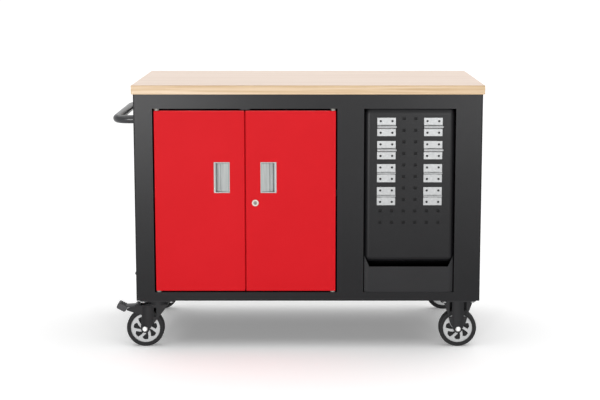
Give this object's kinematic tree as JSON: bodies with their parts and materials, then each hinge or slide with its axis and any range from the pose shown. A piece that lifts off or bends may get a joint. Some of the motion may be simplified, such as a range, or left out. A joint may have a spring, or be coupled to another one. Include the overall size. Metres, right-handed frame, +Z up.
{
  "type": "mobile workbench",
  "caption": "Steel workbench on casters with a wood top, a two-door cupboard with a lock, an open niche with hinged tool plates and a bin, and a side push handle.",
  "frame": {"origin": "on the floor, under the middle of the whole bench with its handle", "axes": "+X to the bench's right seen from the front, -Y out of the front, +Z up"},
  "size_m": [1.2194, 0.6, 0.877],
  "materials": {
    "charcoal_powder_coat": "satin fine-texture powder coat",
    "red_powder_coat": "smooth satin powder coat",
    "wood_top": "clear lacquered",
    "anodised_pull": "brushed",
    "zinc_steel": "zinc plated",
    "lock_chrome": "polished",
    "white_nylon": "moulded",
    "black_handle": "satin powder coat",
    "black_caster_steel": "satin black coat",
    "pedal_plastic": "moulded, grained",
    "tyre_rubber": "matte",
    "wheel_disc": "satin"
  },
  "bodies": {
    "root": {"worktop": "wood_top", "left_side_panel": "charcoal_powder_coat", "right_side_panel": "charcoal_powder_coat", "top_rail": "charcoal_powder_coat", "bottom_rail": "charcoal_powder_coat", "mid_stile": "charcoal_powder_coat", "cross_bars": "charcoal_powder_coat", "back_panel": "charcoal_powder_coat", "base_plate": "charcoal_powder_coat", "cupboard_floor": "charcoal_powder_coat", "partition": "charcoal_powder_coat", "shelf": "charcoal_powder_coat", "niche_liner": "charcoal_powder_coat", "perforated_panel": "charcoal_powder_coat", "parts_bin": "charcoal_powder_coat", "panel_screws": "zinc_steel", "push_handle": "black_handle", "door_bushes": "white_nylon", "door_catch": "white_nylon", "fixed_leaves": "zinc_steel", "leaf_pins": "zinc_steel", "caster_bolts": "zinc_steel", "caster_kingpins": "zinc_steel", "front_left_caster_plate": "black_caster_steel", "rear_left_caster_plate": "black_caster_steel", "front_right_fork": "black_caster_steel", "rear_right_fork": "black_caster_steel", "rigid_axles": "zinc_steel"},
    "left_door": {"left_door": "red_powder_coat", "left_pull": "anodised_pull", "left_pivot_pins": "zinc_steel"},
    "right_door": {"right_door": "red_powder_coat", "right_pull": "anodised_pull", "right_pivot_pins": "zinc_steel", "lock_barrel": "lock_chrome", "lock_nut": "lock_chrome"},
    "lock": {"lock_plug": "lock_chrome", "lock_cam": "lock_chrome"},
    "leaf_top_left": {"leaf_top_left": "zinc_steel"},
    "leaf_top_right": {"leaf_top_right": "zinc_steel"},
    "leaf_upper_left": {"leaf_upper_left": "zinc_steel"},
    "leaf_upper_right": {"leaf_upper_right": "zinc_steel"},
    "leaf_lower_left": {"leaf_lower_left": "zinc_steel"},
    "leaf_lower_right": {"leaf_lower_right": "zinc_steel"},
    "leaf_bottom_left": {"leaf_bottom_left": "zinc_steel"},
    "leaf_bottom_right": {"leaf_bottom_right": "zinc_steel"},
    "front_left_swivel": {"front_left_fork": "black_caster_steel", "front_left_axle": "zinc_steel"},
    "front_left_brake": {"front_left_brake_pedal": "pedal_plastic"},
    "front_left_wheel": {"front_left_tyre": "tyre_rubber", "front_left_discs": "wheel_disc"},
    "front_right_wheel": {"front_right_tyre": "tyre_rubber", "front_right_discs": "wheel_disc"},
    "rear_left_swivel": {"rear_left_fork": "black_caster_steel", "rear_left_axle": "zinc_steel"},
    "rear_left_brake": {"rear_left_brake_pedal": "pedal_plastic"},
    "rear_left_wheel": {"rear_left_tyre": "tyre_rubber", "rear_left_discs": "wheel_disc"},
    "rear_right_wheel": {"rear_right_tyre": "tyre_rubber", "rear_right_discs": "wheel_disc"}
  },
  "joints": [
    {"name": "left_door_swing", "type": "hinge", "parent": "root", "child": "left_door", "pos_m": [-0.45425, -0.2855, 0.1965], "axis": [0, 0, -1], "range_deg": [0, 110]},
    {"name": "right_door_swing", "type": "hinge", "parent": "root", "child": "right_door", "pos_m": [0.11875, -0.2855, 0.1965], "axis": [0, 0, 1], "range_deg": [0, 110]},
    {"name": "lock_turn", "type": "hinge", "parent": "right_door", "child": "lock", "pos_m": [-0.135, -0.2945, 0.491], "axis": [0, -1, 0], "range_deg": [0, 90]},
    {"name": "leaf_top_left_swing", "type": "hinge", "parent": "root", "child": "leaf_top_left", "pos_m": [0.2925, -0.2928, 0.7405], "axis": [-1, 0, 0], "range_deg": [0, 175]},
    {"name": "leaf_top_right_swing", "type": "hinge", "parent": "root", "child": "leaf_top_right", "pos_m": [0.4445, -0.2928, 0.7405], "axis": [-1, 0, 0], "range_deg": [0, 175]},
    {"name": "leaf_upper_left_swing", "type": "hinge", "parent": "root", "child": "leaf_upper_left", "pos_m": [0.2925, -0.2928, 0.6645], "axis": [-1, 0, 0], "range_deg": [0, 175]},
    {"name": "leaf_upper_right_swing", "type": "hinge", "parent": "root", "child": "leaf_upper_right", "pos_m": [0.4445, -0.2928, 0.6645], "axis": [-1, 0, 0], "range_deg": [0, 175]},
    {"name": "leaf_lower_left_swing", "type": "hinge", "parent": "root", "child": "leaf_lower_left", "pos_m": [0.2925, -0.2904, 0.5885], "axis": [-1, 0, 0], "range_deg": [0, 175]},
    {"name": "leaf_lower_right_swing", "type": "hinge", "parent": "root", "child": "leaf_lower_right", "pos_m": [0.4445, -0.2904, 0.5885], "axis": [-1, 0, 0], "range_deg": [0, 175]},
    {"name": "leaf_bottom_left_swing", "type": "hinge", "parent": "root", "child": "leaf_bottom_left", "pos_m": [0.2925, -0.2904, 0.5125], "axis": [-1, 0, 0], "range_deg": [0, 175]},
    {"name": "leaf_bottom_right_swing", "type": "hinge", "parent": "root", "child": "leaf_bottom_right", "pos_m": [0.4445, -0.2904, 0.5125], "axis": [-1, 0, 0], "range_deg": [0, 175]},
    {"name": "front_left_swivel_turn", "type": "hinge", "parent": "root", "child": "front_left_swivel", "pos_m": [-0.46175, -0.2495, 0.163], "axis": [0, 0, 1], "continuous": true},
    {"name": "front_left_wheel_spin", "type": "hinge", "parent": "front_left_swivel", "child": "front_left_wheel", "pos_m": [-0.50475, -0.2495, 0.0625], "axis": [0, 1, 0], "continuous": true},
    {"name": "front_left_brake_press", "type": "hinge", "parent": "front_left_swivel", "child": "front_left_brake", "pos_m": [-0.53075, -0.2495, 0.137], "axis": [0, -1, 0], "range_deg": [0, 16]},
    {"name": "front_right_wheel_spin", "type": "hinge", "parent": "root", "child": "front_right_wheel", "pos_m": [0.53625, -0.2495, 0.0625], "axis": [0, 1, 0], "continuous": true},
    {"name": "rear_left_swivel_turn", "type": "hinge", "parent": "root", "child": "rear_left_swivel", "pos_m": [-0.46175, 0.2495, 0.163], "axis": [0, 0, 1], "continuous": true},
    {"name": "rear_left_wheel_spin", "type": "hinge", "parent": "rear_left_swivel", "child": "rear_left_wheel", "pos_m": [-0.50475, 0.2495, 0.0625], "axis": [0, 1, 0], "continuous": true},
    {"name": "rear_left_brake_press", "type": "hinge", "parent": "rear_left_swivel", "child": "rear_left_brake", "pos_m": [-0.53075, 0.2495, 0.137], "axis": [0, -1, 0], "range_deg": [0, 16]},
    {"name": "rear_right_wheel_spin", "type": "hinge", "parent": "root", "child": "rear_right_wheel", "pos_m": [0.53625, 0.2495, 0.0625], "axis": [0, 1, 0], "continuous": true}
  ]
}
